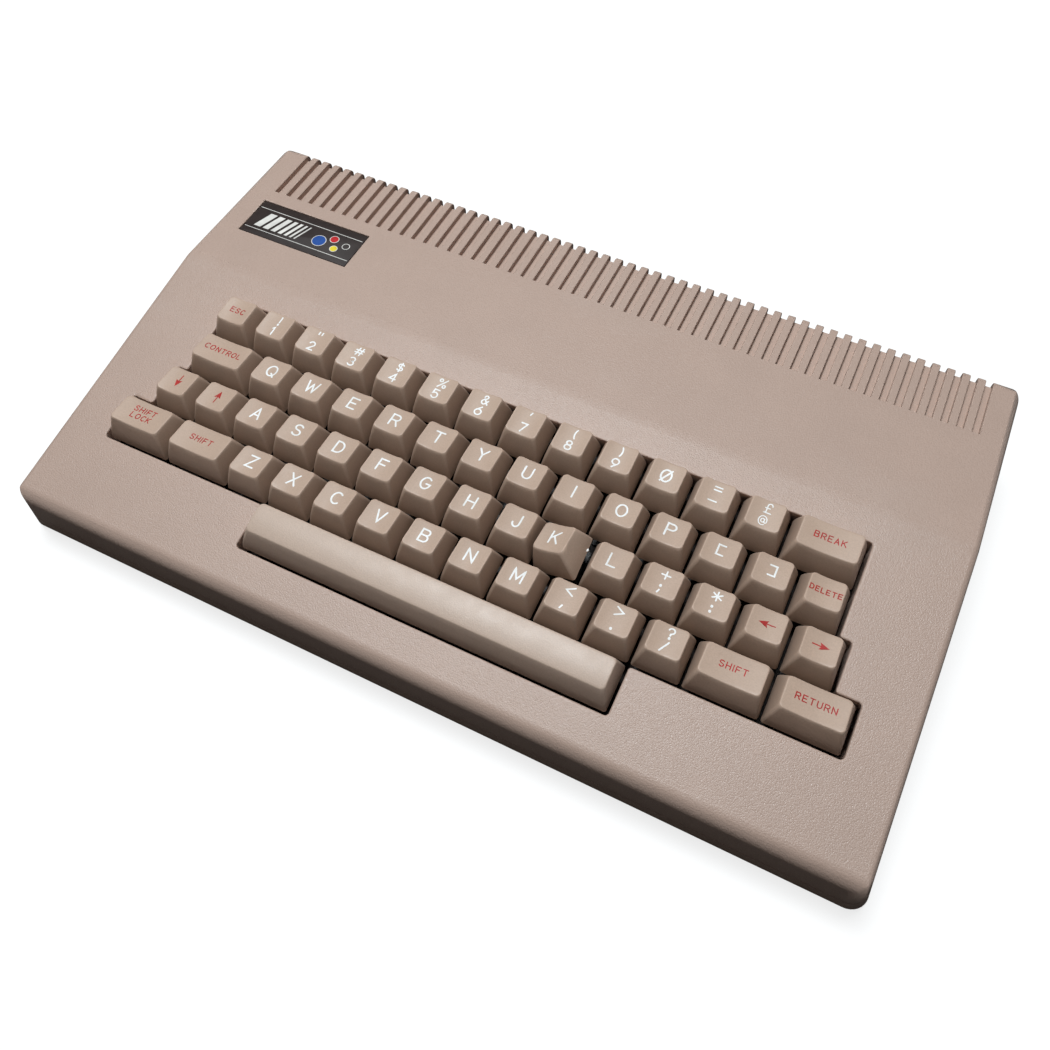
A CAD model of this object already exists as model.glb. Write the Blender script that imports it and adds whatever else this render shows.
import math

import bmesh
import bpy
import numpy as np
from mathutils import Matrix, Vector


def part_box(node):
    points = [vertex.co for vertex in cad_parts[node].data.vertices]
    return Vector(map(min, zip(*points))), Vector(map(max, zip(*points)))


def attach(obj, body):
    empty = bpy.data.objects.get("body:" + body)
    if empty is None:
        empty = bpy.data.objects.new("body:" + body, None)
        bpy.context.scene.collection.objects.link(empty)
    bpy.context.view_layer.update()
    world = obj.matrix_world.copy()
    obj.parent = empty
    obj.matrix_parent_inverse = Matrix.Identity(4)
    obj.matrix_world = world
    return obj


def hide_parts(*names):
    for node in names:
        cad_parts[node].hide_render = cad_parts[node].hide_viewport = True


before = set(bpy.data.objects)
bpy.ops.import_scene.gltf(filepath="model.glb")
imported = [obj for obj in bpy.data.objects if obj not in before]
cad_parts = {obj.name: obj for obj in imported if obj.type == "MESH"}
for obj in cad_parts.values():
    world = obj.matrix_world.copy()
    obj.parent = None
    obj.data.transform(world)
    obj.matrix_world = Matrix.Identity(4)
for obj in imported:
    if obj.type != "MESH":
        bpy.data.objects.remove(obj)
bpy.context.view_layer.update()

# ---- Sizes of the source, in millimetres ----
MM = 0.001
CASE_W, CASE_D, FRONT_H, REAR_H, CREASE_D = 346.2, 206.0, 26.0, 46.5, 125.5
FOOT_H, FOOT_SINK, FOOT_R, SPLIT_H = 2.5, 0.8, 6.5, 8.0
PITCH, SETBACK = 19.05, 37.2
SKIRT_GAP, SKIRT_DROP = 1.0, 2.5
TOP_INSET, FRONT_INSET, REAR_INSET = 3.2, 5.1, 1.8
TOP_FRONT, TOP_REAR, NUMBER_REAR, BAR_H = 9.7, 7.2, 8.5, 8.0
DISH, CAP_WALL, CAP_ROOF = 1.0, 1.3, 1.4
FIELD_MID = 7.25
DECK_ANGLE = math.atan((REAR_H - FRONT_H) / CREASE_D)
ROOF_Z = FOOT_H + REAR_H

# Deck millimetres (origin at the front left of the ESC column) to world millimetres.
DECK = (
    Matrix.Translation((-FIELD_MID * PITCH, -CASE_D / 2, FOOT_H + FRONT_H))
    @ Matrix.Rotation(DECK_ANGLE, 4, "X")
    @ Matrix.Translation((0, SETBACK, 0))
)
TO_METRES = Matrix.Scale(MM, 4)
DECK_UP = DECK.to_3x3() @ Vector((0, 0, 1))
DECK_LEVEL = DECK_UP.dot(DECK.translation) * MM

# ---- Camera: solved from the key grid of the photograph ----
PHOTO_PX, FOCAL_PX, SENSOR_MM = 1050, 910.66, 36.0
EYE = Vector((236.717, -74.550, 313.806))
EYE_RIGHT = Vector((0.89946, 0.43025, -0.07661))
EYE_DOWN = Vector((0.37220, -0.84608, -0.38161))
EYE_AHEAD = Vector((-0.22900, 0.31473, -0.92114))


def make_camera():
    """Camera of the photograph. Its place and axes are given in the deck's frame."""
    data = bpy.data.cameras.new("camera")
    data.sensor_width = SENSOR_MM
    data.lens = FOCAL_PX / PHOTO_PX * SENSOR_MM
    data.clip_start = 0.01
    cam = bpy.data.objects.new("camera", data)
    bpy.context.scene.collection.objects.link(cam)
    turn = Matrix((EYE_RIGHT, -EYE_DOWN, -EYE_AHEAD)).transposed()
    turn = (DECK.to_3x3() @ turn).to_4x4()
    cam.matrix_world = Matrix.Translation((DECK @ EYE) * MM) @ turn
    bpy.context.scene.camera = cam


make_camera()


# ---- Materials ----
class Nodes:
    """Adds nodes to a tree. An input given as a socket is linked, and any other value is set."""

    def __init__(self, owner):
        owner.use_nodes = True
        self.tree = owner.node_tree

    def add(self, kind, inputs=(), **settings):
        node = self.tree.nodes.new(kind)
        for key, value in settings.items():
            setattr(node, key, value)
        for key, value in dict(inputs).items():
            self.feed(node.inputs[key], value)
        return node

    def feed(self, socket, value):
        if isinstance(value, bpy.types.NodeSocket):
            self.tree.links.new(value, socket)
        else:
            socket.default_value = value

    def math(self, operation, a, b, **settings):
        return self.add("ShaderNodeMath", {0: a, 1: b}, operation=operation, **settings).outputs[0]

    def vector(self, operation, a, b=(0, 0, 0), output=0):
        return self.add("ShaderNodeVectorMath", {0: a, 1: b}, operation=operation).outputs[output]

    def remap(self, value, low, high, to_low=0.0, to_high=1.0):
        node = self.add(
            "ShaderNodeMapRange",
            {"Value": value, "From Min": low, "From Max": high, "To Min": to_low, "To Max": to_high},
        )
        return node.outputs["Result"]

    def end(self, kind, share, first, second):
        """Ends the tree with a mix of two shaders."""
        mixed = self.add("ShaderNodeMixShader", {0: share, 1: first, 2: second}).outputs[0]
        self.add(kind, {"Surface": mixed})


class Shader(Nodes):
    """Small helper that wires a Principled material."""

    def __init__(self, name):
        self.mat = bpy.data.materials.new(name)
        super().__init__(self.mat)
        self.bsdf = self.tree.nodes["Principled BSDF"]
        self.coords = self.add("ShaderNodeTexCoord").outputs["Object"]

    def noise(self, size_mm, detail=2.0, rough=0.5, stretch=None):
        """Noise from 0 to 1 with features of about the given size."""
        vector = self.coords
        if stretch:
            vector = self.add("ShaderNodeMapping", {"Vector": vector, "Scale": stretch}).outputs[0]
        node = self.add(
            "ShaderNodeTexNoise",
            {"Vector": vector, "Scale": 1 / (size_mm * MM), "Detail": detail, "Roughness": rough},
        )
        return node.outputs["Fac"]

    def cells(self, size_mm):
        """Distance to the nearest of points that lie about the given size apart."""
        node = self.add("ShaderNodeTexVoronoi", {"Vector": self.coords, "Scale": 1 / (size_mm * MM)})
        return node.outputs["Distance"]

    def mix(self, factor, a, b):
        node = self.add("ShaderNodeMix", data_type="RGBA")
        self.feed(node.inputs["Factor"], factor)
        for socket, value in ((node.inputs[6], a), (node.inputs[7], b)):
            self.feed(socket, value if isinstance(value, bpy.types.NodeSocket) else (*value, 1))
        return node.outputs[2]

    def bump(self, height, distance_mm, strength=1.0):
        node = self.add(
            "ShaderNodeBump", {"Height": height, "Distance": distance_mm * MM, "Strength": strength}
        )
        return node.outputs[0]

    def done(self, color, roughness, normal, metallic=0.0, specular=0.5, **extra):
        self.feed(self.bsdf.inputs["Base Color"], color)
        self.feed(self.bsdf.inputs["Roughness"], roughness)
        self.feed(self.bsdf.inputs["Normal"], normal)
        self.bsdf.inputs["Metallic"].default_value = metallic
        self.bsdf.inputs["Specular IOR Level"].default_value = specular
        for key, value in extra.items():
            self.bsdf.inputs[key.replace("_", " ")].default_value = value
        return self.mat


def rgb(r, g, b):
    """Display colour, 0 to 255, as linear values."""
    return tuple(((v / 255 + 0.055) / 1.055) ** 2.4 if v > 10 else v / 255 / 12.92 for v in (r, g, b))


def shade(color, factor):
    """Linear colour made darker or lighter."""
    return tuple(min(c * factor, 1.0) for c in color)


DUST = rgb(206, 196, 188)
# Height of the grime on the caps' walls, in metres from the deck: most at the first, none at the second.
GRIME_FROM, GRIME_TO = -0.002, 0.0075


def case_material(name, color):
    """Moulded plastic with a spark-eroded grain that glints, faint mottling and pale flecks."""
    s = Shader(name)
    mottle = s.remap(s.noise(26, 3), 0.3, 0.7)
    pits = s.remap(s.cells(0.62), 0.0, 0.75)
    fine = s.noise(0.36, 2, 0.6)
    grain = s.math("ADD", s.math("MULTIPLY", pits, 0.35), s.math("MULTIPLY", fine, 0.65))
    fleck = s.remap(s.cells(0.9), 0.16, 0.05)
    tone = s.mix(mottle, shade(color, 0.965), shade(color, 1.02))
    tone = s.mix(s.remap(grain, 0.36, 0.60), shade(color, 0.93), tone)
    tone = s.mix(s.math("MULTIPLY", fleck, 0.22), tone, shade(color, 1.5))
    dust = s.remap(s.noise(60, 4, 0.7), 0.55, 0.8, 0.0, 0.10)
    tone = s.mix(dust, tone, DUST)
    rough = s.remap(grain, 0.36, 0.64, 0.26, 0.42)
    normal = s.bump(grain, 0.17, 1.0)
    return s.done(tone, rough, normal, specular=0.45)


def cap_material(name, color, grain_mm, depth, rough):
    """Smooth matte plastic, polished by use, with grime towards the skirt and worn rims."""
    s = Shader(name)
    grain = s.noise(grain_mm, 3, 0.6)
    mottle = s.remap(s.noise(7, 3), 0.3, 0.7)
    tone = s.mix(mottle, shade(color, 0.965), shade(color, 1.02))
    tone = s.mix(s.remap(grain, 0.34, 0.62), shade(color, 0.90), tone)
    up = s.vector("DOT_PRODUCT", s.coords, DECK_UP, "Value")
    grime = s.remap(up, DECK_LEVEL + GRIME_FROM, DECK_LEVEL + GRIME_TO, 0.62, 0.0)
    tone = s.mix(grime, tone, shade(color, 0.30))
    bend = s.add("ShaderNodeNewGeometry").outputs["Pointiness"]
    tone = s.mix(s.remap(bend, 0.52, 0.60, 0.0, 0.5), tone, shade(color, 1.35))
    gloss = s.remap(s.noise(4, 2), 0.35, 0.65, rough[0], rough[1])
    normal = s.bump(grain, depth, 0.8)
    return s.done(tone, gloss, normal, specular=0.4)


def plain_plastic(name, color, rough, grain_mm=0.5, depth=0.01, specular=0.45):
    """Moulded or printed plastic or rubber with a fine grain and faint mottling."""
    s = Shader(name)
    grain = s.noise(grain_mm, 2)
    tone = s.mix(s.remap(s.noise(5, 2), 0.3, 0.7), shade(color, 0.86), shade(color, 1.12))
    rough_map = s.remap(grain, 0.3, 0.7, rough - 0.07, rough + 0.07)
    return s.done(tone, rough_map, s.bump(grain, depth, 0.7), specular=specular)


def metal(name, color, rough, stretch=(1, 1, 1)):
    """Metal with a grain drawn out along one axis, the one with the smallest stretch."""
    s = Shader(name)
    grain = s.noise(0.6, 3, 0.6, stretch)
    tone = s.mix(s.remap(s.noise(9, 3), 0.3, 0.7), shade(color, 0.82), shade(color, 1.05))
    rough_map = s.remap(grain, 0.3, 0.7, rough - 0.1, rough + 0.12)
    return s.done(tone, rough_map, s.bump(grain, 0.01, 0.5), metallic=1.0)


def board_material(name):
    """Solder resist over copper tracks, with a faint weave."""
    s = Shader(name)
    track = s.add(
        "ShaderNodeTexBrick",
        {"Vector": s.coords, "Scale": 260.0, "Mortar Size": 0.012, "Brick Width": 0.9, "Row Height": 0.32},
    ).outputs["Fac"]
    weave = s.noise(0.3, 2)
    tone = s.mix(track, rgb(38, 92, 52), rgb(74, 128, 66))
    tone = s.mix(s.remap(weave, 0.3, 0.7, 0.0, 0.25), tone, rgb(24, 66, 38))
    height = s.math("ADD", s.math("MULTIPLY", track, 0.6), s.math("MULTIPLY", weave, 0.2))
    return s.done(tone, s.remap(weave, 0.3, 0.7, 0.25, 0.42), s.bump(height, 0.04), Coat_Weight=0.2)


def ribbon_material(name):
    """Grey vinyl over side by side wires."""
    s = Shader(name)
    wave = s.add(
        "ShaderNodeTexWave",
        {"Vector": s.coords, "Scale": 125.0},
        wave_type="BANDS", bands_direction="X",
    ).outputs["Fac"]
    tone = s.mix(wave, rgb(120, 120, 124), rgb(168, 168, 172))
    return s.done(tone, s.remap(s.noise(2), 0.3, 0.7, 0.42, 0.56), s.bump(wave, 0.3))


# Colours as display values, then what the maker takes: roughness, grain in mm, bump in mm, and so on.
FINISHES = {
    "case_plastic": (case_material, rgb(191, 165, 151)),
    "key_plastic": (cap_material, rgb(198, 171, 152), 0.55, 0.035, (0.36, 0.50)),
    "space_bar_plastic": (cap_material, rgb(202, 178, 161), 0.5, 0.09, (0.33, 0.40)),
    "legend_white": (plain_plastic, rgb(252, 250, 246), 0.45, 0.3, 0.004),
    "legend_red": (plain_plastic, rgb(176, 40, 36), 0.45, 0.3, 0.004),
    "badge": (plain_plastic, rgb(56, 47, 45), 0.44, 0.25, 0.006, 0.25),
    "badge_white": (plain_plastic, rgb(232, 228, 222), 0.4, 0.3, 0.003),
    "badge_red": (plain_plastic, rgb(196, 44, 48), 0.36, 0.3, 0.003),
    "badge_yellow": (plain_plastic, rgb(238, 216, 60), 0.36, 0.3, 0.003),
    "badge_blue": (plain_plastic, rgb(44, 84, 158), 0.36, 0.3, 0.003),
    "dark_plastic": (plain_plastic, rgb(38, 36, 36), 0.5),
    "board": (board_material,),
    "steel_plate": (metal, rgb(36, 33, 32), 0.5, (1, 6, 6)),
    "screw_steel": (metal, rgb(176, 174, 170), 0.32),
    "wire_steel": (metal, rgb(190, 190, 192), 0.25, (8, 1, 1)),
    "tinned_steel": (metal, rgb(190, 190, 190), 0.3),
    "bare_aluminium": (metal, rgb(200, 201, 204), 0.34, (1, 1, 10)),
    "capacitor_sleeve": (plain_plastic, rgb(42, 56, 108), 0.3, 1.5, 0.01),
    "foot_rubber": (plain_plastic, rgb(40, 39, 38), 0.75, 0.5, 0.03, 0.3),
    "cable_vinyl": (ribbon_material,),
}
M = {name: make(name, *values) for name, (make, *values) in FINISHES.items()}


# ---- Mesh helpers ----
def piece(name, bm, materials, body, replaces, matrix=None, sharp=None):
    """Makes an object from a bmesh in millimetres and hangs it on a body. sharp is in degrees."""
    if matrix is not None:
        bm.transform(matrix)
    bm.transform(TO_METRES)
    bmesh.ops.recalc_face_normals(bm, faces=bm.faces)
    for f in bm.faces:
        f.smooth = True
    mesh = bpy.data.meshes.new(name)
    bm.to_mesh(mesh)
    bm.free()
    if sharp:
        mesh.set_sharp_from_angle(angle=math.radians(sharp))
    for m in materials:
        mesh.materials.append(M[m])
    obj = bpy.data.objects.new(name, mesh)
    bpy.context.scene.collection.objects.link(obj)
    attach(obj, body)
    if replaces:
        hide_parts(*replaces)
    return obj


def add_mesh(bm, points, faces, material=0):
    """Adds faces given as lists of point numbers, and returns them."""
    verts = [bm.verts.new(p) for p in points]
    made = []
    for f in faces:
        corners = [verts[i] for i in f]
        if len(set(corners)) > 2:
            made.append(bm.faces.new(corners))
            made[-1].material_index = material
    return made


def join_rings(bm, rings, material=0, capped=False):
    """Skins a list of rings with the same number of points, and closes the ends if capped."""
    n = len(rings[0])
    points = [p for ring in rings for p in ring]
    faces = []
    for k in range(len(rings) - 1):
        for i in range(n):
            j = (i + 1) % n
            faces.append((k * n + i, k * n + j, (k + 1) * n + j, (k + 1) * n + i))
    if capped:
        faces.append(tuple(range(n))[::-1])
        faces.append(tuple(range((len(rings) - 1) * n, len(rings) * n)))
    return add_mesh(bm, points, faces, material)


def lathe(bm, profile, at=(0, 0, 0), steps=24, material=0, matrix=None):
    """Turns an (r, z) outline about Z. Points with r = 0 close the ends."""
    rings = []
    for r, z in profile:
        ring = []
        for i in range(steps):
            a = 2 * math.pi * i / steps
            p = Vector((r * math.cos(a), r * math.sin(a), z))
            if matrix is not None:
                p = matrix @ p
            ring.append(p + Vector(at))
        rings.append(ring)
    made = join_rings(bm, rings, material)
    bmesh.ops.remove_doubles(bm, verts=list({v for f in made for v in f.verts}), dist=1e-4)


def box_mesh(bm, low, high, bevel):
    """Box between two corners, with its edges rounded."""
    x0, y0, z0 = low
    x1, y1, z1 = high
    pts = [(x, y, z) for x in (x0, x1) for y in (y0, y1) for z in (z0, z1)]
    quads = [(0, 1, 3, 2), (4, 6, 7, 5), (0, 4, 5, 1), (2, 3, 7, 6), (0, 2, 6, 4), (1, 5, 7, 3)]
    edges = list({e for f in add_mesh(bm, pts, quads) for e in f.edges})
    bmesh.ops.bevel(bm, geom=edges, offset=bevel, segments=2, affect="EDGES", profile=0.5)


# ---- Case ----
def cad_copy(node):
    """The node's mesh in millimetres, welded and with flat faces joined."""
    bm = bmesh.new()
    bm.from_mesh(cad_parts[node].data)
    bm.transform(Matrix.Scale(1 / MM, 4))
    bmesh.ops.remove_doubles(bm, verts=bm.verts, dist=1e-3)
    bmesh.ops.dissolve_limit(
        bm, angle_limit=math.radians(0.4), verts=bm.verts, edges=bm.edges, use_dissolve_boundaries=False
    )
    bmesh.ops.recalc_face_normals(bm, faces=bm.faces)
    bm.normal_update()
    return bm


# Bevel widths in millimetres. BEVEL_MAX only sets the scale of the weights.
BEVEL_MAX = 4.0
SEAM_EDGE, CREASE_EDGE, FIELD_EDGE, FIELD_CORNER = 0.45, 3.0, 0.7, 1.3
OTHER_EDGE, BASE_EDGE, BASE_HOLE_EDGE, SMOOTH_ONLY = 0.35, 1.4, 0.25, -1.0
SHARP_FROM, CREASE_BELOW = math.radians(30), math.radians(12)
# How far a face may lie inside the hull, a height may be off and a line may lie from the roof's crease.
SKIN_REACH, CLOSE, CREASE_REACH = 0.04, 0.02, 0.3
# Rear limits of the key opening and of the well below it, and the depth down to which corners are rounded.
FIELD_REAR, WELL_REAR, WELL_DEPTH = 80, 90, 1.0
TO_DECK = DECK.inverted()


def weigh_edges(bm, rule):
    """Gives each edge a bevel width from the rule. A width of 0 leaves a sharp edge sharp, and less than 0
    makes it smooth without a bevel."""
    layer = bm.edges.layers.float.new("bevel_weight_edge")
    co = np.array([v.co[:] for v in bm.verts])
    skin = {}
    for f in bm.faces:
        reach = (co - np.array(f.verts[0].co)) @ np.array(f.normal)
        skin[f] = reach.max() < SKIN_REACH
    for e in bm.edges:
        if len(e.link_faces) != 2:
            continue
        angle = e.calc_face_angle(0.0)
        width = rule(e, angle, [skin[f] for f in e.link_faces])
        e[layer] = max(width, 0.0) / BEVEL_MAX
        e.smooth = width != 0 or angle < SHARP_FROM


def top_rule(e, angle, skins):
    """Bevel width of an edge of the top case. skins says which of its faces lie on the outer hull."""
    a, b = (v.co for v in e.verts)
    da, db = TO_DECK @ a, TO_DECK @ b
    if angle < CREASE_BELOW and all(skins):
        at_roof = abs(a.z - ROOF_Z) < CLOSE and abs(b.z - ROOF_Z) < CLOSE
        along_x = abs(a.y - b.y) < CLOSE / 2
        on_crease = at_roof and along_x and abs(a.y + CASE_D / 2 - CREASE_D) < CREASE_REACH
        return CREASE_EDGE if on_crease else 0.0
    if angle < SHARP_FROM:
        return 0.0
    if all(skins):
        at_seam = max(a.z, b.z) < FOOT_H + SPLIT_H + 0.05
        return SEAM_EDGE if at_seam else SMOOTH_ONLY
    if any(skins):
        in_field = max(abs(da.z), abs(db.z)) < 0.05 and da.y < FIELD_REAR
        return FIELD_EDGE if in_field else OTHER_EDGE
    upright = abs((db - da).normalized().z) > 0.999
    in_well = max(da.z, db.z) > -WELL_DEPTH and da.y < WELL_REAR
    return FIELD_CORNER if upright and in_well else 0.0


def bottom_rule(e, angle, skins):
    """Bevel width of an edge of the bottom case."""
    if angle < SHARP_FROM:
        return 0.0
    low = max(v.co.z for v in e.verts) < FOOT_H + CLOSE
    if all(skins):
        return BASE_EDGE if low else SEAM_EDGE
    return BASE_HOLE_EDGE if low and any(skins) else 0.0


def make_case(name, node, rule):
    """Case half made from the CAD mesh, with its edges rounded."""
    bm = cad_copy(node)
    weigh_edges(bm, rule)
    obj = piece(name, bm, ["case_plastic"], "machine", [node])
    bevel = obj.modifiers.new("edges", "BEVEL")
    bevel.limit_method = "WEIGHT"
    bevel.width = BEVEL_MAX * MM
    bevel.segments = 3
    bevel.use_clamp_overlap = False
    bevel.miter_outer = "MITER_ARC"
    normals = obj.modifiers.new("normals", "WEIGHTED_NORMAL")
    normals.keep_sharp = True


# ---- Keycaps ----
def cap_outline(hx, y_low, y_high, r, per_side, per_corner=6):
    """Rounded rectangle, counter-clockwise from the front left corner's end."""
    mid = (y_low + y_high) / 2
    hy = (y_high - y_low) / 2
    r = min(r, hx, hy)
    corners = [
        (hx - r, mid - hy + r, -90),
        (hx - r, mid + hy - r, 0),
        (r - hx, mid + hy - r, 90),
        (r - hx, mid - hy + r, 180),
    ]
    out = []
    for k, (cx, cy, a0) in enumerate(corners):
        px, py, pa = corners[k - 1]
        end = (px + r * math.cos(math.radians(pa + 90)), py + r * math.sin(math.radians(pa + 90)))
        start = (cx + r * math.cos(math.radians(a0)), cy + r * math.sin(math.radians(a0)))
        count = per_side[k % 2]
        for i in range(1, count):
            t = i / count
            out.append((end[0] + (start[0] - end[0]) * t, end[1] + (start[1] - end[1]) * t))
        for i in range(per_corner + 1):
            a = math.radians(a0 + 90 * i / per_corner)
            out.append((cx + r * math.cos(a), cy + r * math.sin(a)))
    return out


# Height share, moved inward by and dropped by, for the rings of the rounded top edge.
TOP_EDGE = ((0.985, 0.0, 0.30), (1.0, 0.07, 0.13), (1.0, 0.22, 0.03), (1.0, 0.45, 0.0))
WALL_SHARES = (0.012, 0.12, 0.28, 0.45, 0.62, 0.78, 0.9)
TOP_SHARES = (0.12, 0.26, 0.42, 0.58, 0.74, 0.88, 1.0)
BAR_RISE, BAR_CROWN = 0.25, 0.55
WALL_TOP, WALL_SPAN = 0.42, 0.962
# The side and front walls bulge more than the rear one. Corners widen upward and narrow inward.
BULGE, REAR_BULGE = 1.28, 1.15
CORNER_R, CORNER_WIDER, CORNER_INWARD, CORNER_LEAST = 1.0, 0.75, 0.7, 0.3
# The cavity: height share of its ceiling's outline, size of the ceiling's flat and the drop to its side.
CEILING_SHARE, CEILING_FLAT, CEILING_DROP, RIM_EDGE, SKIRT_EDGE = 0.86, 0.93, 0.6, 0.15, 0.12


class Cap:
    """Shape of one keycap about the middle of its place, in deck millimetres."""

    def __init__(self, units, front_z, rear_z, bar=False):
        self.w = units * PITCH
        self.bar = bar
        self.front_z, self.rear_z = front_z, rear_z
        self.y_front = -PITCH / 2 + FRONT_INSET
        self.y_rear = PITCH / 2 - REAR_INSET
        self.half = self.w / 2 - TOP_INSET
        self.per_side = (max(8, round(8 * units)), 8)

    def top(self, x, y):
        """Height of the top surface."""
        t = (y - self.y_front) / (self.y_rear - self.y_front)
        z = self.front_z + (self.rear_z - self.front_z) * t
        if self.bar:
            across_y = 2 * t - 1
            return z + BAR_RISE - BAR_CROWN * across_y * across_y
        s = min(abs(x) / self.half, 1.05)
        return z - DISH * (1 - s * s)

    def ring(self, t, z, inset=0.0):
        """Outline of the wall at height share t, moved inward by inset."""
        bulge = t ** BULGE
        hx = self.w / 2 - SKIRT_GAP / 2 - (TOP_INSET - SKIRT_GAP / 2) * bulge - inset
        low = -PITCH / 2 + SKIRT_GAP / 2 + (FRONT_INSET - SKIRT_GAP / 2) * bulge + inset
        high = PITCH / 2 - SKIRT_GAP / 2 - (REAR_INSET - SKIRT_GAP / 2) * t ** REAR_BULGE - inset
        r = max(CORNER_R + CORNER_WIDER * t - inset * CORNER_INWARD, CORNER_LEAST)
        flat = cap_outline(hx, low, high, r, self.per_side)
        return [(x, y, z if z is not None else self.top(x, y)) for x, y in flat]

    def build(self, bm):
        """Adds the hollow cap as one skin, from inside its roof over the rim to the middle of its top."""
        edge = self.ring(1.0, None)
        bottom = -SKIRT_DROP
        spine_y = (self.y_front + self.y_rear) / 2
        run = max(self.half - (self.y_rear - self.y_front) / 2, 0.0)
        # Inside, from the ceiling down to the rim.
        roof = CAP_ROOF + (0 if self.bar else DISH)
        z = self.front_z + (self.rear_z - self.front_z) * 0.5 - roof
        ceiling = [(x, y) for x, y, _ in self.ring(CEILING_SHARE, z, CAP_WALL)]
        rings = [
            [(max(-run, min(run, x)), spine_y, z) for x, y in ceiling],
            [(x * CEILING_FLAT, y * CEILING_FLAT, z) for x, y in ceiling],
            [(x, y, z - CEILING_DROP) for x, y in ceiling],
            self.ring(0.0, bottom + RIM_EDGE, CAP_WALL),
            self.ring(0.0, bottom, CAP_WALL - RIM_EDGE),
            self.ring(0.0, bottom, SKIRT_EDGE),
        ]
        # Outside, up to the rounded top edge.
        for t in WALL_SHARES:
            ring = []
            for (x, y, _), e in zip(self.ring(t, 0.0), edge):
                ring.append((x, y, bottom + (e[2] - WALL_TOP - bottom) * t / WALL_SPAN))
            rings.append(ring)
        for t, inset, drop in TOP_EDGE:
            wall = self.ring(t, None, inset)
            rings.append([(x, y, z - drop) for x, y, z in wall])
        # The top, shrunk in steps to its spine.
        last = rings[-1]
        for share in TOP_SHARES:
            ring = []
            for x, y, z in last:
                spine_x = max(-run, min(run, x))
                nx, ny = x + (spine_x - x) * share, y + (spine_y - y) * share
                ring.append((nx, ny, self.top(nx, ny)))
            rings.append(ring)
        made = join_rings(bm, rings)
        bmesh.ops.remove_doubles(bm, verts=list({v for f in made for v in f.verts}), dist=2e-3)


# Outlines as radius and height. None stands for a height just inside the cap's roof.
STEM = [(0, -13), (2.5, -13), (2.75, -12.7), (2.75, 0.2), (2.5, 0.38), (2.1, 0.38), (2.1, 4.4), (0, 4.4)]
COLLAR = [(2.15, 0.5), (3.2, 0.5), (3.3, 0.7), (3.3, None), (2.15, None), (2.15, 0.5)]
INTO_ROOF, STEM_STEPS = 0.5, 20


def add_plunger(bm, cap, material):
    """Collar under the cap's roof, and the stem that goes down into the switch."""
    roof = CAP_ROOF + (0 if cap.bar else DISH)
    top = (cap.front_z + cap.rear_z) / 2 - roof + INTO_ROOF
    lathe(bm, [(r, top if z is None else z) for r, z in COLLAR], steps=STEM_STEPS)
    lathe(bm, STEM, steps=STEM_STEPS, material=material)


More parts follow.
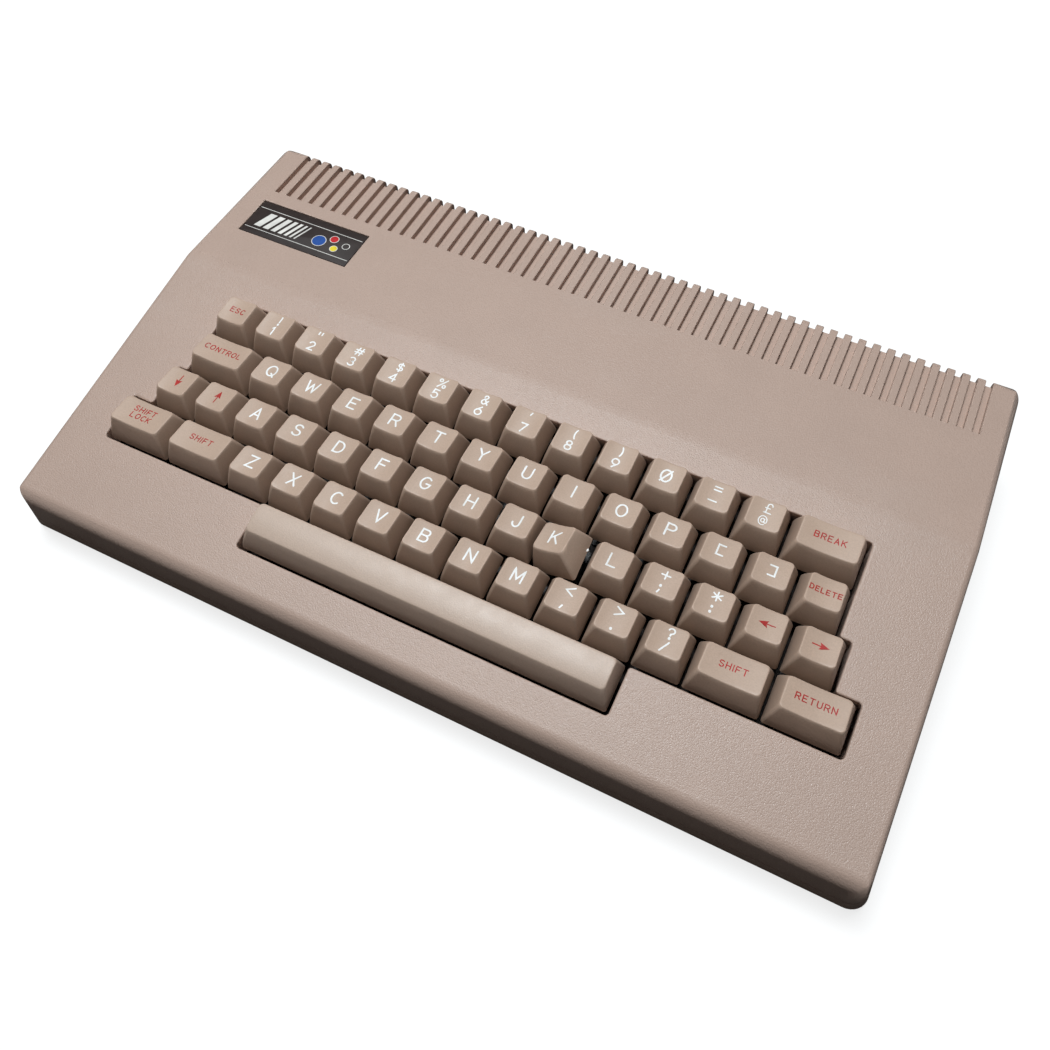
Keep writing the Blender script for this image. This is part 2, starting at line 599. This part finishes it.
# ---- Legends: single-stroke letters, points or arcs (@ centre, radii, from, to) in a 12-high box ----
GLYPHS = {
    "A": "0 0 4 12 8 0;1.4 4 6.6 4",
    "B": "0 6.4 4.8 6.4 @4.8 9.2 2.8 2.8 -90 90 0 12 0 0 4.8 0 @4.8 3.2 3.2 3.2 -90 90",
    "C": "@4.6 6 4.6 6 48 312",
    "D": "0 0 0 12 3 12 @3 6 5.2 6 90 -90 0 0",
    "E": "7.4 12 0 12 0 0 7.4 0;0 6.2 6 6.2",
    "F": "7.4 12 0 12 0 0;0 6.2 6 6.2",
    "G": "@4.6 6 4.6 6 48 354 5.2 5.4",
    "H": "0 0 0 12;8 0 8 12;0 6.2 8 6.2",
    "I": "4 0 4 12",
    "J": "6.6 12 6.6 3.6 @3.5 3.6 3.1 3.6 0 -180",
    "K": "0 0 0 12;7.6 12 0 4.6;2.8 7.2 8 0",
    "L": "0 12 0 0 7 0",
    "M": "0 0 0 12 4.6 2.6 9.2 12 9.2 0",
    "N": "0 0 0 12 8 0 8 12",
    "O": "@4.6 6 4.6 6 0 360",
    "P": "0 0 0 12 4.8 12 @4.8 8.9 3.1 3.1 90 -90 0 5.8",
    "Q": "@4.6 6 4.6 6 0 360;5.4 3.2 8.8 -0.6",
    "R": "0 0 0 12 4.8 12 @4.8 8.9 3.1 3.1 90 -90 0 5.8;4.6 5.8 8 0",
    "S": "@4 9.1 3.5 2.9 25 270 @4 3.1 3.8 3.1 90 -155",
    "T": "0 12 8.4 12;4.2 12 4.2 0",
    "U": "0 12 0 4 @4 4 4 4 180 360 8 12",
    "V": "0 12 4.2 0 8.4 12",
    "W": "0 12 2.8 0 5.6 9.6 8.4 0 11.2 12",
    "X": "0 0 8 12;0 12 8 0",
    "Y": "0 12 4.2 6 8.4 12;4.2 6 4.2 0",
    "Z": "0 12 8 12 0 0 8 0",
    "0": "@4.6 6 4.6 6 0 360;0.8 -0.2 8.4 12.2",
    "1": "2.2 9.6 4.6 12 4.6 0",
    "2": "@4 8.6 3.6 3.4 165 -35 0.4 0 8 0",
    "3": "@4 9.1 3.3 2.9 150 -90 @4 3.1 3.8 3.1 90 -150",
    "4": "6 0 6 12 0 3.6 8 3.6",
    "5": "7.4 12 1.4 12 0.8 6.6 @3.9 3.9 3.9 3.9 125 -150",
    "6": "6.4 12 0.9 6 @4.1 3.9 4 3.9 145 505",
    "7": "0.4 12 8 12 2.6 0",
    "8": "@4 9.2 3.1 2.8 -90 270;@4 3.2 3.8 3.2 90 450",
    "9": "1.8 0 7.2 6 @3.9 8.1 4 3.9 -35 325",
    "!": "4 12 4 3.6;4 0.7 4 0",
    '"': "1.8 12 1.8 8.4;6.2 12 6.2 8.4",
    "#": "1.8 0.6 3.8 11.4;6.6 0.6 8.6 11.4;-0.4 4.2 9.8 4.2;0.2 7.8 10.4 7.8",
    "$": "@4 8.4 3.2 2.4 25 270 @4 3.6 3.4 2.4 90 -155;4 12.6 4 -0.6",
    "%": "9.4 12 0.6 0;@1.8 9.8 1.8 1.9 0 360;@8.2 2.2 1.8 1.9 0 360",
    "&": "8.2 0 2.2 8.4 @3.8 9.8 2.1 2.1 222 -48 1.2 5.1 @3.3 2.9 2.9 2.9 130 300 8 5.4",
    "'": "4.8 12 3.6 8.6",
    "(": "@8 6 5 8.4 135 225",
    ")": "@0 6 5 8.4 45 -45",
    "=": "0 8.2 8 8.2;0 4.0 8 4.0",
    "-": "-0.6 6 8.6 6",
    "[": "7.4 11.4 1 11.4 1 0.6 7.4 0.6",
    "]": "0.6 11.4 7 11.4 7 0.6 0.6 0.6",
    "+": "4 10.6 4 1.4;-0.8 6 8.8 6",
    ";": "4 8.9 4 8.3;4.4 3.2 3.0 -0.4",
    "*": "4 11.4 4 0.6;-0.8 8.8 8.8 3.2;-0.8 3.2 8.8 8.8",
    ":": "4 9.4 4 8.8;4 2.8 4 2.2",
    "<": "8.8 11 0 6 8.8 1",
    ">": "0 11 8.8 6 0 1",
    ",": "4.7 3.2 3.2 -0.6",
    ".": "4 1.0 4 0.4",
    "?": "@4 9 3.2 3 170 -55 4 5.4 4 3.6;4 0.7 4 0",
    "/": "0.6 0 7.4 12",
    "POUND": "7.6 9.6 @5 9 2.6 3 10 180 2.4 1.4 0.4 0 7.8 0;0.6 6 5.6 6",
    "AT": "@4.4 6 4.6 5.8 305 0 @7.6 5.2 1.4 1.9 0 -180 6.2 8.2;@4.3 6 1.9 2.4 0 360",
}


def glyph_strokes(name):
    """The glyph's strokes as lists of points, and its left and right ends."""
    strokes = []
    for part in GLYPHS[name].split(";"):
        tokens = part.split()
        points = []
        i = 0
        while i < len(tokens):
            if tokens[i][0] == "@":
                cx, cy, rx, ry, a0, a1 = (float(v.strip("@")) for v in tokens[i:i + 6])
                steps = max(4, round(abs(a1 - a0) / 15))
                for k in range(steps + 1):
                    a = math.radians(a0 + (a1 - a0) * k / steps)
                    points.append((cx + rx * math.cos(a), cy + ry * math.sin(a)))
                i += 6
            else:
                points.append((float(tokens[i]), float(tokens[i + 1])))
                i += 2
        strokes.append(points)
    xs = [p[0] for s in strokes for p in s]
    return strokes, min(xs), max(xs)


def resample(points, step):
    """Splits the long straights of a polyline and drops double points."""
    out = [points[0]]
    for b in points[1:]:
        a = out[-1]
        length = math.dist(a, b)
        if length < 1e-6:
            continue
        n = max(1, math.ceil(length / step))
        out += [(a[0] + (b[0] - a[0]) * k / n, a[1] + (b[1] - a[1]) * k / n) for k in range(1, n + 1)]
    return out


GLYPH_H, GLYPH_GAP, STROKE_STEP, DOT_BELOW, DOT_WIDER = 12, 4.0, 0.45, 1, 1.6
LEGEND_LIFT, LEGEND_SINK = 0.035, 0.12
END_STEPS, MITRE_LEAST = 6, 0.55


def add_slab(bm, outline, place, material, lift=LEGEND_LIFT, sink=LEGEND_SINK, faces=None):
    """Thin plate on a surface. faces lists the corners of its top's faces, if they are more than one."""
    top, low = ([bm.verts.new(place(x, y, h)) for x, y in outline] for h in (lift, -sink))
    for corners in faces or [range(len(outline))]:
        bm.faces.new([top[i] for i in corners]).material_index = material
        bm.faces.new([low[i] for i in corners][::-1]).material_index = material
    for i in range(len(outline)):
        j = (i + 1) % len(outline)
        bm.faces.new((top[i], low[i], low[j], top[j])).material_index = material


def stroke_sides(points, half, closed):
    """Points to the left and right of a line, mitred at its corners."""
    n = len(points)
    left, right = [], []
    for i, p in enumerate(points):
        a = points[i - 1] if i or closed else p
        b = points[(i + 1) % n] if i < n - 1 or closed else p
        d1 = Vector((p[0] - a[0], p[1] - a[1]))
        d2 = Vector((b[0] - p[0], b[1] - p[1]))
        d1 = d1.normalized() if d1.length > 1e-9 else d2.normalized()
        d2 = d2.normalized() if d2.length > 1e-9 else d1
        t = d1 + d2
        t = t.normalized() if t.length > 1e-6 else d2
        grow = 1 / max(math.sqrt((1 + d1.dot(d2)) / 2), MITRE_LEAST)
        normal = Vector((-t.y, t.x)) * half * grow
        left.append((p[0] + normal.x, p[1] + normal.y))
        right.append((p[0] - normal.x, p[1] - normal.y))
    return left, right


def round_end(at, before, half):
    """Points of the half circle that ends a line coming from the point before."""
    ahead = Vector((at[0] - before[0], at[1] - before[1])).normalized()
    a0 = math.atan2(ahead.y, ahead.x) + math.pi / 2
    angles = [a0 - math.pi * k / END_STEPS for k in range(1, END_STEPS)]
    return [(at[0] + half * math.cos(a), at[1] + half * math.sin(a)) for a in angles]


def add_stroke(bm, points, width, place, material, lift=LEGEND_LIFT, sink=LEGEND_SINK):
    """Lays a round-ended line of the given width on a surface. place(x, y, h) gives a point."""
    points = resample(points, STROKE_STEP)
    closed = len(points) > 3 and math.dist(points[0], points[-1]) < 1e-3
    if closed:
        points = points[:-1]
    n, half = len(points), width / 2
    left, right = stroke_sides(points, half, closed)
    if closed:
        loops = ((left, lift), (right, lift), (right, -sink), (left, -sink))
        tube = [[bm.verts.new(place(x, y, h)) for x, y in side] for side, h in loops]
        for k in range(4):
            one, other = tube[k], tube[(k + 1) % 4]
            for i in range(n):
                j = (i + 1) % n
                bm.faces.new((one[i], one[j], other[j], other[i])).material_index = material
        return
    end = round_end(points[-1], points[-2], half)
    start = round_end(points[0], points[1], half)
    outline = left + end + right[::-1] + start
    # Strips between the two sides, and a fan at each end.
    m, r = len(outline), n + len(end)
    faces = [(i, i + 1, r + n - 2 - i, r + n - 1 - i) for i in range(n - 1)]
    for first in (n - 1, r + n - 1):
        faces.append([(first + k) % m for k in range(END_STEPS + 1)])
    add_slab(bm, outline, place, material, lift, sink, faces)


def add_text(bm, glyphs, height, centre, line, place, material, gap=GLYPH_GAP):
    """Writes a row of glyphs centred on a point, in a line of the given width."""
    scale = height / GLYPH_H
    rows = [glyph_strokes(g) for g in glyphs]
    total = sum(hi - lo for _, lo, hi in rows) + gap * (len(rows) - 1)
    x = -total / 2
    for strokes, lo, hi in rows:
        for stroke in strokes:
            points = []
            for px, py in stroke:
                points.append((centre[0] + (x + px - lo) * scale, centre[1] + (py - GLYPH_H / 2) * scale))
            dot = len(stroke) == 2 and math.dist(*stroke) < DOT_BELOW
            add_stroke(bm, points, line * DOT_WIDER if dot else line, place, material)
        x += hi - lo + gap


# Distances along an arrow from its middle, half of the head's width, and the line of the shaft.
ARROW_END, NECK, HEAD_BACK, HEAD_NOTCH, HEAD_HALF, SHAFT_LINE = 3.0, 0.5, -0.5, 0.1, 1.4, 0.42


def add_arrow(bm, direction, centre, place, material):
    """Thin shaft with a filled head, 6 mm long."""
    dx, dy = direction
    cx, cy = centre

    def at(along, aside=0.0):
        return (cx + dx * along - dy * aside, cy + dy * along + dx * aside)

    add_stroke(bm, [at(-ARROW_END), at(NECK)], SHAFT_LINE, place, material)
    head = [at(ARROW_END), at(HEAD_BACK, HEAD_HALF), at(HEAD_NOTCH), at(HEAD_BACK, -HEAD_HALF)]
    add_slab(bm, head, place, material, faces=((0, 1, 2), (0, 2, 3)))


# ---- Key list: node, row, left edge, width in pitches, legend ----
KEYS = []
for letters, row, left in (("ZXCVBNM", 0, 2.25), ("ASDFGHJKL", 1, 1.75), ("QWERTYUIOP", 2, 1.5)):
    for i, c in enumerate(letters):
        KEYS.append(("key_" + c.lower(), row, left + i, 1, ("letter", c)))
for i, (upper, lower) in enumerate(zip("!\"#$%&'()", "123456789")):
    KEYS.append(("number_row_keys", 3, 1 + i, 1, ("pair", upper, lower)))
KEYS += [
    ("number_row_keys", 3, 10, 1, ("letter", "0")),
    ("number_row_keys", 3, 11, 1, ("pair", "=", "-")),
    ("number_row_keys", 3, 12, 1, ("pair", "POUND", "AT")),
    ("punctuation_keys", 2, 11.5, 1, ("sign", "[")),
    ("punctuation_keys", 2, 12.5, 1, ("sign", "]")),
    ("punctuation_keys", 1, 10.75, 1, ("pair", "+", ";")),
    ("punctuation_keys", 1, 11.75, 1, ("pair", "*", ":")),
    ("punctuation_keys", 0, 9.25, 1, ("pair", "<", ",")),
    ("punctuation_keys", 0, 10.25, 1, ("pair", ">", ".")),
    ("punctuation_keys", 0, 11.25, 1, ("pair", "?", "/")),
    ("key_space", -1, 3.25, 8, None),
    ("key_shift_lock", 0, -0.75, 1.5, ("word", "SHIFT", "LOCK")),
    ("key_left_shift", 0, 0.75, 1.5, ("word", "SHIFT")),
    ("key_right_shift", 0, 12.25, 1.5, ("word", "SHIFT")),
    ("key_return", 0, 13.75, 1.5, ("word", "RETURN")),
    ("key_down", 1, -0.25, 1, ("arrow", 0, -1)),
    ("key_up", 1, 0.75, 1, ("arrow", 0, 1)),
    ("key_left", 1, 12.75, 1, ("arrow", -1, 0)),
    ("key_right", 1, 13.75, 1, ("arrow", 1, 0)),
    ("key_control", 2, 0, 1.5, ("word", "CONTROL")),
    ("key_delete", 2, 13.5, 1, ("word", "DELETE")),
    ("key_esc", 3, 0, 1, ("word", "ESC")),
    ("key_break", 3, 13, 1.5, ("word", "BREAK")),
]
# Material numbers within a key. Number 0 is the cap's plastic.
LEGEND_WHITE, LEGEND_RED, PLUNGER = 1, 2, 3

# Height of the glyphs, their middle and the width of their lines, for each kind of legend.
LETTER_AT = (0.0, 1.9)
LETTER_TEXT, SIGN_TEXT = (5.1, LETTER_AT, 0.7), (4.6, LETTER_AT, 0.68)
UPPER_TEXT, LOWER_TEXT = (4.0, (0.3, 4.5)), (3.9, (-0.2, -0.9))
PAIR_LINES, FINE_LINES = (0.6, 0.62), (0.48, 0.38)
WORD_H, LONG_WORD_H, LONG_WORD, WORD_LINE, WORD_GAP = 2.3, 1.9, 6, 0.4, 5.0
WORD_ROWS = {1: (0.0,), 2: (1.8, -1.5)}


def add_legend(bm, cap, legend):
    """Prints a legend on the cap's top."""
    def place(x, y, h):
        return (x, y, cap.top(x, y) + h)

    kind, *parts = legend
    if kind == "letter":
        add_text(bm, parts, *LETTER_TEXT, place, LEGEND_WHITE)
    elif kind == "sign":
        add_text(bm, parts, *SIGN_TEXT, place, LEGEND_WHITE)
    elif kind == "pair":
        upper, lower = FINE_LINES if "AT" in parts else PAIR_LINES
        add_text(bm, parts[:1], *UPPER_TEXT, upper, place, LEGEND_WHITE)
        add_text(bm, parts[1:], *LOWER_TEXT, lower, place, LEGEND_WHITE)
    elif kind == "arrow":
        add_arrow(bm, parts, LETTER_AT, place, LEGEND_RED)
    else:
        for word, dy in zip(parts, WORD_ROWS[len(parts)]):
            size = LONG_WORD_H if len(word) >= LONG_WORD and cap.w <= PITCH else WORD_H
            add_text(bm, word, size, (0, LETTER_AT[1] + dy), WORD_LINE, place, LEGEND_RED, WORD_GAP)


# The K cap sits askew on its plunger. It is turned about a point this far below the deck.
CROOKED_BELOW, CROOKED_TURN, CROOKED_TILT = 2.5, math.radians(2), math.radians(-21)
CROOKED = (
    Matrix.Translation((0, 0, -CROOKED_BELOW))
    @ Matrix.Rotation(CROOKED_TURN, 4, "Z")
    @ Matrix.Rotation(CROOKED_TILT, 4, "Y")
    @ Matrix.Translation((0, 0, CROOKED_BELOW))
)
CRUMB_AT, CRUMB_R, CRUMB_WIDTH, CRUMB_HEIGHT, CRUMB_LUMPS = Vector((8.95, 3.6, -2.2)), 0.75, 0.75, 0.8, 0.22
RIB_X, RIB_LOW, RIB_HIGH, RIB_EDGE = 64.4, (-0.8, 2.0, -7.7), (0.8, 7.0, 6.8), 0.2


def add_crumb(bm):
    """Small pale crumb stuck to the right edge of the crooked cap, as in the photograph."""
    lump = bmesh.ops.create_icosphere(bm, subdivisions=2, radius=CRUMB_R)["verts"]
    for v in lump:
        x, y, z = v.co
        wobble = 1 + CRUMB_LUMPS * math.sin(7 * x + 3 * y) * math.cos(5 * z + 2 * y)
        v.co = CRUMB_AT + Vector((x * CRUMB_WIDTH, y, z * CRUMB_HEIGHT)) * wobble
    for f in {f for v in lump for f in v.link_faces}:
        f.material_index = LEGEND_WHITE


def bar_ribs(bm):
    """Ribs under the space bar that its wire hooks into."""
    for x in (-RIB_X, RIB_X):
        box_mesh(bm, (x + RIB_LOW[0], *RIB_LOW[1:]), (x + RIB_HIGH[0], *RIB_HIGH[1:]), RIB_EDGE)


def make_keys():
    """Makes one object per node. The caps of a bank share theirs."""
    groups = {}
    for key in KEYS:
        groups.setdefault(key[0], []).append(key)
    for node, keys in groups.items():
        whole = bmesh.new()
        bar = node == "key_space"
        for _, row, left, units, legend in keys:
            if bar:
                cap = Cap(units, BAR_H, BAR_H, True)
            else:
                cap = Cap(units, TOP_FRONT, NUMBER_REAR if row == 3 else TOP_REAR)
            bm = bmesh.new()
            cap.build(bm)
            if legend:
                add_legend(bm, cap, legend)
            if node == "key_k":
                add_crumb(bm)
                bm.transform(CROOKED)
            add_plunger(bm, cap, PLUNGER)
            if bar:
                bar_ribs(bm)
            bm.transform(Matrix.Translation(((left + units / 2) * PITCH, (row + 0.5) * PITCH, 0)))
            part = bpy.data.meshes.new("part")
            bm.to_mesh(part)
            bm.free()
            whole.from_mesh(part)
            bpy.data.meshes.remove(part)
        plastic = "space_bar_plastic" if bar else "key_plastic"
        name = "cap_" + node.replace("key_", "", 1)
        piece(
            name, whole, [plastic, "legend_white", "legend_red", "dark_plastic"], node, [node],
            matrix=DECK, sharp=38,
        )


# ---- Badge: a printed plate of a generic design, in millimetres from its front left corner ----
PRINT_LIFT, PRINT_SINK, BADGE_CORNER, BADGE_PRINT = 0.03, 0.1, 0.6, 1
# Inset and height below the top, for the rings of the plate's rounded top edge.
BADGE_EDGE = ((0.0, 0.15), (0.05, 0.05), (0.16, 0.0))
RULES_Y, RULE_INSET, RULE_LINE = (16.6, 3.4), 0.8, 0.3
BARS = (3.4, 2.9, 2.4, 1.9, 1.45, 1.05, 0.7)
BARS_X, BARS_LOW, BARS_HIGH, BAR_GAP, BAR_LEAN = 4.2, 5.2, 14.6, 1.35, 3.4
# Middle, radius and material number of the coloured spots. Each lies on a wider pale spot.
SPOTS = ((36.6, 9.0, 3.1, 4), (42.6, 12.6, 1.9, 2), (45.2, 7.4, 1.6, 3))
SPOT_RIM, RIM_LIFT, SPOT_LIFT = 0.28, 0.02, 0.04
RING_AT, RING_R = (49.6, 10.8), 1.7


def circle(x, y, r, steps):
    """Points of a circle."""
    angles = [2 * math.pi * k / steps for k in range(steps)]
    return [(x + r * math.cos(a), y + r * math.sin(a)) for a in angles]


def make_badge():
    """Plate with its print, fitted to the box of the CAD plate."""
    low, high = (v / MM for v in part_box("badge_plate"))
    w, l, z = high.x - low.x, high.y - low.y, high.z
    bm = bmesh.new()

    def plate_ring(inset, height):
        flat = cap_outline(w / 2 - inset, inset, l - inset, BADGE_CORNER, (6, 4), 4)
        return [(low.x + w / 2 + x, low.y + y, height) for x, y in flat]

    def place(x, y, h):
        return (low.x + x, low.y + y, z + h)

    def line(points):
        add_stroke(bm, points, RULE_LINE, place, BADGE_PRINT, PRINT_LIFT, PRINT_SINK)

    rings = [plate_ring(0.0, low.z)] + [plate_ring(inset, z - drop) for inset, drop in BADGE_EDGE]
    join_rings(bm, rings, capped=True)
    for y in RULES_Y:
        line([(RULE_INSET, y), (w - RULE_INSET, y)])
    x = BARS_X
    for bar in BARS:
        foot, head = x, x + BAR_LEAN
        outline = [(foot, BARS_LOW), (foot + bar, BARS_LOW), (head + bar, BARS_HIGH), (head, BARS_HIGH)]
        add_slab(bm, outline, place, BADGE_PRINT, PRINT_LIFT, PRINT_SINK)
        x += bar + BAR_GAP
    for cx, cy, r, material in SPOTS:
        add_slab(bm, circle(cx, cy, r + SPOT_RIM, 32), place, BADGE_PRINT, RIM_LIFT, PRINT_SINK)
        add_slab(bm, circle(cx, cy, r, 32), place, material, SPOT_LIFT, PRINT_SINK)
    ring = circle(*RING_AT, RING_R, 24)
    line(ring + ring[:1])
    materials = ["badge", "badge_white", "badge_red", "badge_yellow", "badge_blue"]
    piece("badge_panel", bm, materials, "machine", ["badge_plate"], sharp=40)


# ---- Feet and socket rings: outlines as radius and height ----
FOOT_TOP, FOOT_INSET = FOOT_H + FOOT_SINK, 24
FOOT_OUTLINE = [
    (0, 0.5), (3.4, 0.5), (3.9, 0.1), (4.3, 0), (5.4, 0), (5.9, 0.25), (FOOT_R, 1.3), (FOOT_R, FOOT_TOP),
    (0, FOOT_TOP),
]
SOCKET_OUTLINE = [
    (6.25, -7.8), (6.25, 0.15), (6.4, 0.3), (6.65, 0.3), (6.75, 0.15), (6.75, -7.8), (6.25, -7.8),
]
SOCKETS_X = (60, 30, 0, -30)


def make_feet():
    """Four rubber feet, hollow below."""
    bm = bmesh.new()
    for x in (-1, 1):
        for y in (-1, 1):
            at = (x * (CASE_W / 2 - FOOT_INSET), y * (CASE_D / 2 - FOOT_INSET), 0)
            lathe(bm, FOOT_OUTLINE, at, 40)
    piece("feet", bm, ["foot_rubber"], "machine", ["rubber_feet"], sharp=50)


def make_socket_rings():
    """Thin metal shells of the round sockets at the rear."""
    low, high = (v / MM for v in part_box("rear_sockets"))
    bm = bmesh.new()
    turn = Matrix.Rotation(math.radians(-90), 4, "X")
    for x in SOCKETS_X:
        lathe(bm, SOCKET_OUTLINE, (x, high.y, (low.z + high.z) / 2), 40, matrix=turn)
    piece("socket_rings", bm, ["tinned_steel"], "machine", (), sharp=50)


# ---- CAD nodes that stay: better materials only ----
CAD_FINISH = {
    "keyboard_plate": "steel_plate", "keyboard_board": "board", "key_switches": "dark_plastic",
    "inner_screws": "screw_steel", "main_board": "board", "board_chips": "dark_plastic",
    "board_capacitors": "capacitor_sleeve", "heatsink": "bare_aluminium",
    "voltage_regulators": "dark_plastic", "tv_modulator": "tinned_steel", "rear_sockets": "dark_plastic",
    "case_screws": "screw_steel", "speaker": "dark_plastic", "ribbon_cable": "cable_vinyl",
    "space_bar_wire": "wire_steel",
}


def finish_cad():
    """Gives the remaining CAD nodes the materials made here."""
    for node, material in CAD_FINISH.items():
        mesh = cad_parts[node].data
        mesh.materials.clear()
        mesh.materials.append(M[material])


# ---- Stage ----
WHITE = (1, 1, 1, 1)
FLOOR_HALF, FLOOR_Z = 6.0, -0.0002
FLOOR_LIT, FLOOR_DULL = (0.30, 0.30, 0.30, 1), (0.10, 0.09, 0.085, 1)
# Metres from the object: where reflections of the floor turn from shaded to white, and where its glow grows.
MIRROR_FROM, MIRROR_TO, GLOW_FROM, GLOW_TO, GLOW_LEAST = 0.05, 0.40, 0.15, 0.90, 0.80
ROOM_COLOR, ROOM_LIGHT = (1.0, 0.97, 0.94, 1), 0.03


def floor_material():
    """White to the camera, but for the object's shadow. Shaded to other rays, least so to far reflections."""
    material = bpy.data.materials.new("floor")
    s = Nodes(material)
    s.tree.nodes.clear()
    rays = s.add("ShaderNodeLightPath").outputs
    place = s.add("ShaderNodeNewGeometry").outputs["Position"]
    reach = s.vector("SUBTRACT", s.vector("ABSOLUTE", place), (CASE_W / 2 * MM, CASE_D / 2 * MM, 0))
    away = s.vector("LENGTH", s.vector("MAXIMUM", reach), output="Value")
    mirrored = s.math("MULTIPLY", rays["Is Glossy Ray"], s.remap(away, MIRROR_FROM, MIRROR_TO))
    seen = s.math("ADD", rays["Is Camera Ray"], mirrored, use_clamp=True)
    seen = s.math("ADD", seen, rays["Is Transmission Ray"], use_clamp=True)
    strength = s.remap(away, GLOW_FROM, GLOW_TO, GLOW_LEAST)
    glow = s.add("ShaderNodeEmission", {"Color": WHITE, "Strength": strength}).outputs[0]
    lit = s.add("ShaderNodeBsdfDiffuse", {"Color": FLOOR_LIT}).outputs[0]
    both = s.add("ShaderNodeAddShader", {0: glow, 1: lit}).outputs[0]
    dull = s.add("ShaderNodeBsdfDiffuse", {"Color": FLOOR_DULL}).outputs[0]
    s.end("ShaderNodeOutputMaterial", seen, dull, both)
    return material


def make_floor():
    """Floor of 12 by 12 metres, just below the feet."""
    bm = bmesh.new()
    corners = [(x * FLOOR_HALF, y * FLOOR_HALF, 0) for x, y in ((-1, -1), (1, -1), (1, 1), (-1, 1))]
    add_mesh(bm, corners, [range(4)])
    mesh = bpy.data.meshes.new("floor")
    bm.to_mesh(mesh)
    bm.free()
    mesh.materials.append(floor_material())
    floor = bpy.data.objects.new("floor", mesh)
    floor.location.z = FLOOR_Z
    bpy.context.scene.collection.objects.link(floor)


def make_world():
    """White to the camera, and a faint warm light to all other rays."""
    world = bpy.data.worlds.new("world")
    bpy.context.scene.world = world
    s = Nodes(world)
    s.tree.nodes.clear()
    seen = s.add("ShaderNodeLightPath").outputs["Is Camera Ray"]
    white = s.add("ShaderNodeBackground", {"Color": WHITE}).outputs[0]
    room = s.add("ShaderNodeBackground", {"Color": ROOM_COLOR, "Strength": ROOM_LIGHT}).outputs[0]
    s.end("ShaderNodeOutputWorld", seen, room, white)


def add_lamp(name, at, target, size, energy, color):
    """Square soft lamp. at and target are in metres."""
    data = bpy.data.lights.new(name, "AREA")
    data.shape = "SQUARE"
    data.size = size
    data.energy = energy
    data.color = color
    lamp = bpy.data.objects.new(name, data)
    bpy.context.scene.collection.objects.link(lamp)
    aim = (Vector(target) - Vector(at)).to_track_quat("-Z", "Y")
    lamp.matrix_world = Matrix.Translation(at) @ aim.to_matrix().to_4x4()


# The main lamp shines on a point of the deck, in deck millimetres, from this direction and distance.
LIT_POINT, LAMP_WAY, LAMP_DISTANCE = Vector((175, 25, 0)), Vector((-0.19, 0.297, 0.934)), 1.4


def make_lamps():
    """Lamp above the deck, a little to its left and rear, and a weak one in front."""
    middle = DECK @ LIT_POINT * MM
    toward = (DECK.to_3x3() @ LAMP_WAY).normalized()
    add_lamp("main_lamp", middle + toward * LAMP_DISTANCE, middle, 0.55, 19.5, (0.94, 1.0, 1.03))
    add_lamp("front_lamp", (-0.7, -1.2, 0.7), (0, 0, 0.03), 0.8, 0.35, (1.0, 0.95, 0.9))


make_case("case_top", "top_case", top_rule)
make_case("case_bottom", "bottom_case", bottom_rule)
make_keys()
make_badge()
make_feet()
make_socket_rings()
finish_cad()
make_floor()
make_world()
make_lamps()

bpy.context.scene.view_settings.view_transform = "Standard"
